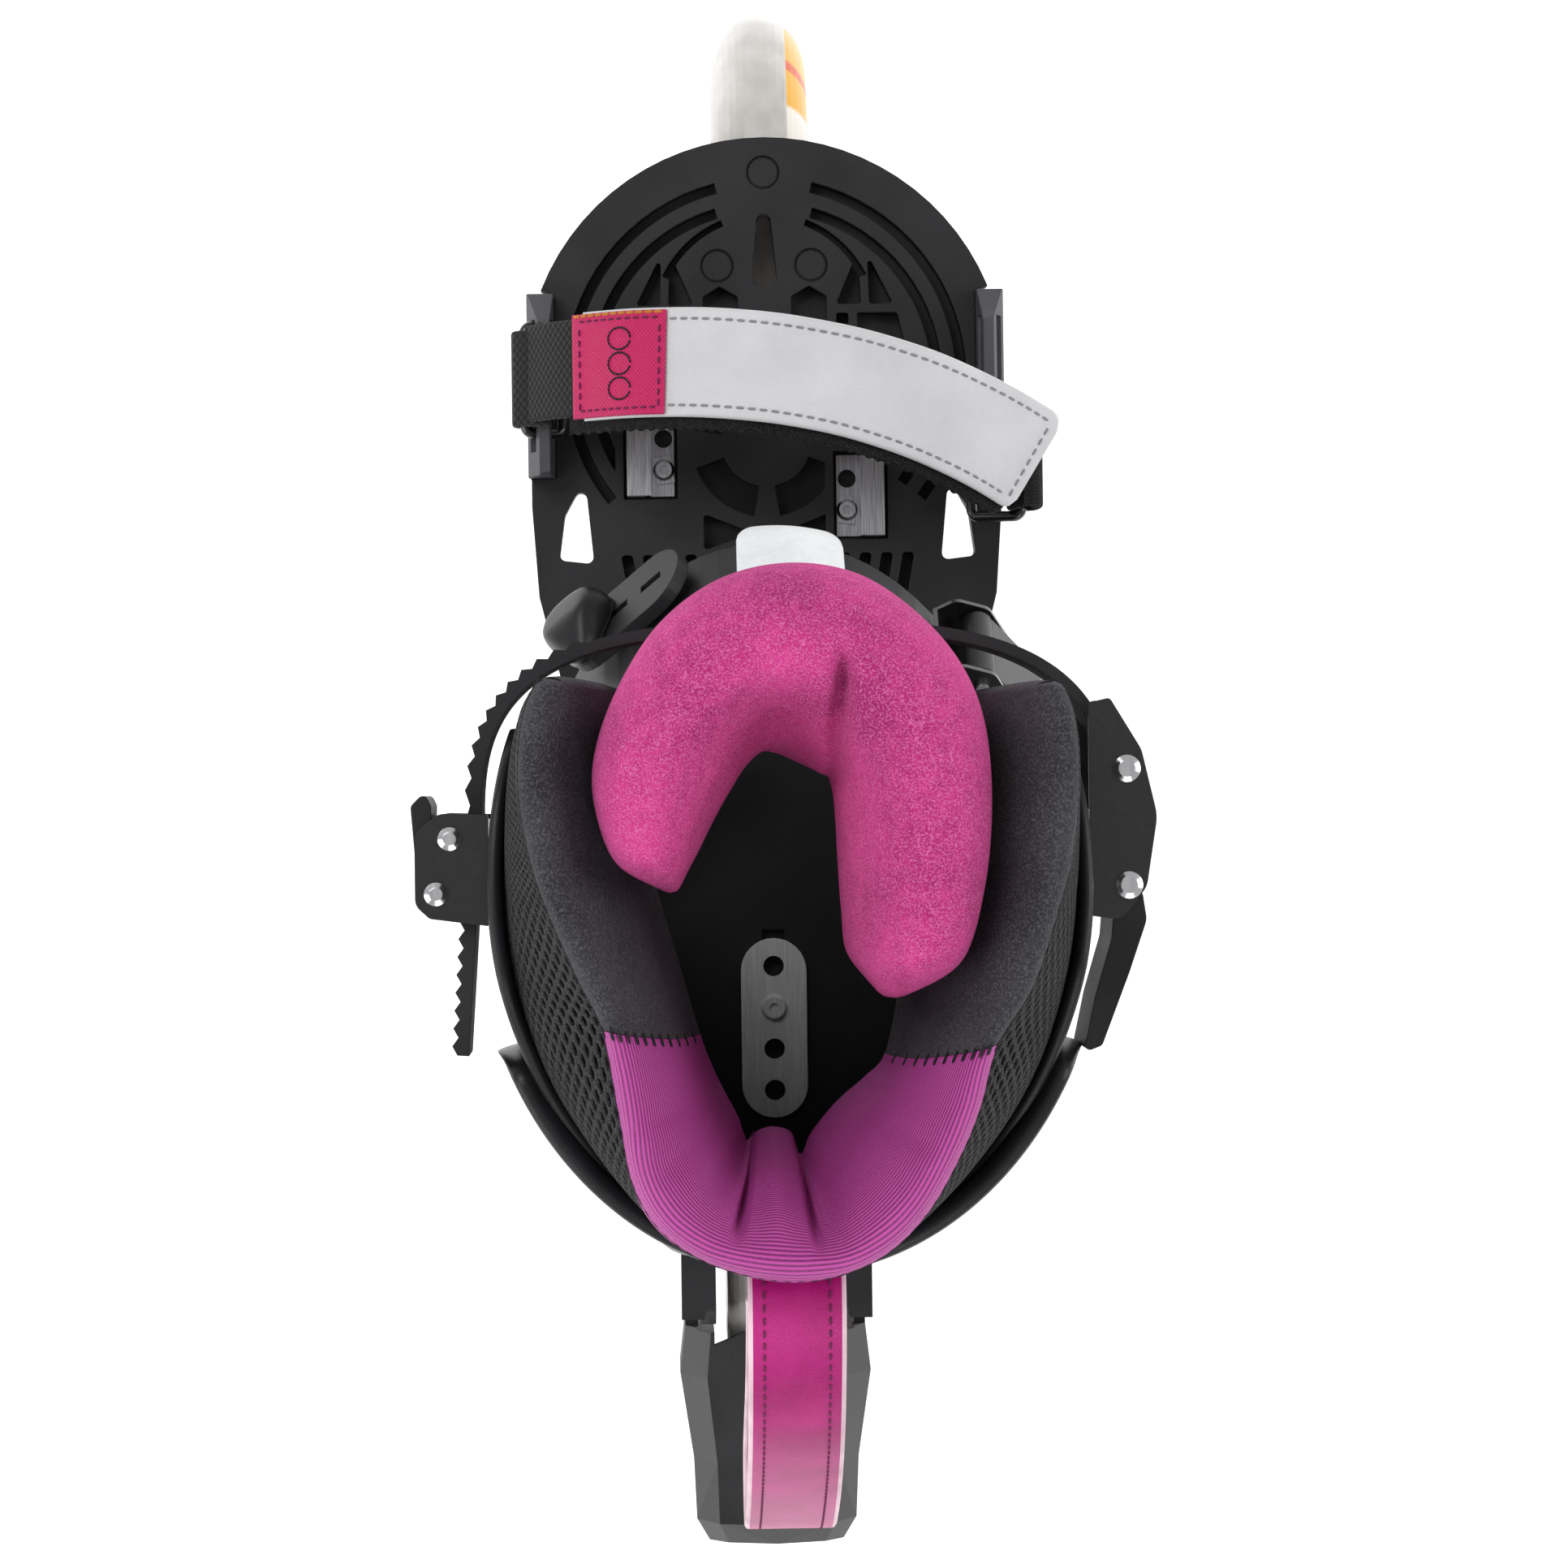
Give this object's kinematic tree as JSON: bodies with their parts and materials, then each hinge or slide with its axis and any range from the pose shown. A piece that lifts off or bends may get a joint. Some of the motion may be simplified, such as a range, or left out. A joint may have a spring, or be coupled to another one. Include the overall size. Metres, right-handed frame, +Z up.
{
  "type": "inline skate",
  "caption": "Inline skate worn over a shoe: wheels in line under a moulded foot bed, heel brake, toe strap, instep strap and a hinged padded cuff with buckles.",
  "frame": {"origin": "on the floor, on the centre plane, directly under the middle wheel's axle", "axes": "+X to the wearer's right, +Y forward to the toe, +Z up"},
  "size_m": [0.1573, 0.3906, 0.344],
  "materials": {
    "frame_plastic": "satin",
    "wing_plastic": "satin",
    "urethane": "semi-gloss cast urethane",
    "hub_plastic": "gloss",
    "steel": "zinc plated",
    "rivet": "polished",
    "black_metal": "gloss",
    "lever_plastic": "satin",
    "strap_plastic": "satin",
    "toe_leather": "fine grain",
    "webbing": "woven",
    "patch": "satin weave",
    "shield": "semi-gloss",
    "brake_rubber": "matte",
    "mesh": "spacer mesh",
    "velour": "short pile",
    "pink_velour": "short pile",
    "pink_lycra": "ribbed knit",
    "pink_strap": "smooth"
  },
  "bodies": {
    "chassis": {"chassis": "frame_plastic", "footplate": "frame_plastic", "plate_plugs": "frame_plastic", "left_wing": "wing_plastic", "right_wing": "wing_plastic", "left_wing_bracket": "steel", "right_wing_bracket": "steel", "bracket_screws": "steel", "strap_rings": "black_metal", "toe_strap": "toe_leather", "toe_webbing": "webbing", "toe_patch": "patch", "axles": "steel", "axle_nuts": "steel", "bearing_sleeves": "steel", "brake_carrier": "frame_plastic", "brake_pad": "brake_rubber", "brake_screw": "steel", "heel_base": "frame_plastic", "heel_cup": "frame_plastic", "size_strip": "steel", "size_screw": "steel", "pivot_pins": "frame_plastic", "heel_liner": "mesh", "instep_strap": "strap_plastic", "instep_pad": "mesh", "instep_shield": "shield", "instep_anchor": "frame_plastic", "instep_bolts": "black_metal", "instep_buckle": "black_metal", "instep_pins": "steel"},
    "front_wheel": {"front_tyre": "urethane", "front_hub": "hub_plastic", "front_bearings": "steel"},
    "middle_wheel": {"middle_tyre": "urethane", "middle_hub": "hub_plastic", "middle_bearings": "steel"},
    "rear_wheel": {"rear_tyre": "urethane", "rear_hub": "hub_plastic", "rear_bearings": "steel"},
    "instep_knob": {"instep_knob": "lever_plastic"},
    "instep_lever": {"instep_lever": "lever_plastic"},
    "cuff": {"hinge_ears": "frame_plastic", "cuff_shell": "frame_plastic", "cuff_spoiler": "frame_plastic", "liner": "mesh", "collar_pads": "velour", "achilles_pad": "pink_lycra", "tongue": "pink_velour", "pull_loop": "pink_strap", "cuff_strap": "strap_plastic", "ratchet_frame": "black_metal", "ratchet_pins": "rivet", "cam_frame": "black_metal", "cam_pins": "rivet"},
    "ratchet_lever": {"ratchet_lever": "lever_plastic"},
    "ratchet_pawl": {"ratchet_pawl": "rivet"},
    "cam_lever": {"cam_lever": "lever_plastic"}
  },
  "joints": [
    {"name": "front_wheel_spin", "type": "hinge", "parent": "chassis", "child": "front_wheel", "pos_m": [0, 0.13, 0.045], "axis": [1, 0, 0], "continuous": true},
    {"name": "middle_wheel_spin", "type": "hinge", "parent": "chassis", "child": "middle_wheel", "pos_m": [0, 0, 0.045], "axis": [1, 0, 0], "continuous": true},
    {"name": "rear_wheel_spin", "type": "hinge", "parent": "chassis", "child": "rear_wheel", "pos_m": [0, -0.13, 0.045], "axis": [1, 0, 0], "continuous": true},
    {"name": "cuff_flex", "type": "hinge", "parent": "chassis", "child": "cuff", "pos_m": [0, -0.085, 0.185], "axis": [-1, 0, 0], "range_deg": [-6, 15]},
    {"name": "instep_knob_turn", "type": "hinge", "parent": "chassis", "child": "instep_knob", "pos_m": [-0.04232, 0.01493, 0.17494], "axis": [-0.712, 0.5617, 0.4213], "continuous": true},
    {"name": "instep_lever_swing", "type": "hinge", "parent": "chassis", "child": "instep_lever", "pos_m": [0.0472, 0.00952, 0.18089], "axis": [0, -0.6, 0.8], "range_deg": [0, 60]},
    {"name": "ratchet_lever_swing", "type": "hinge", "parent": "cuff", "child": "ratchet_lever", "pos_m": [-0.0746, -0.0426, 0.28], "axis": [0, 0, 1], "range_deg": [0, 70]},
    {"name": "ratchet_pawl_lift", "type": "hinge", "parent": "cuff", "child": "ratchet_pawl", "pos_m": [-0.0716, -0.031, 0.28], "axis": [0, 0, -1], "range_deg": [0, 20], "stiffness_Nm_per_rad": 0.02, "springref_deg": -5.73},
    {"name": "cam_lever_swing", "type": "hinge", "parent": "cuff", "child": "cam_lever", "pos_m": [0.0716, -0.0426, 0.28], "axis": [0, 0, 1], "range_deg": [0, 100]}
  ]
}
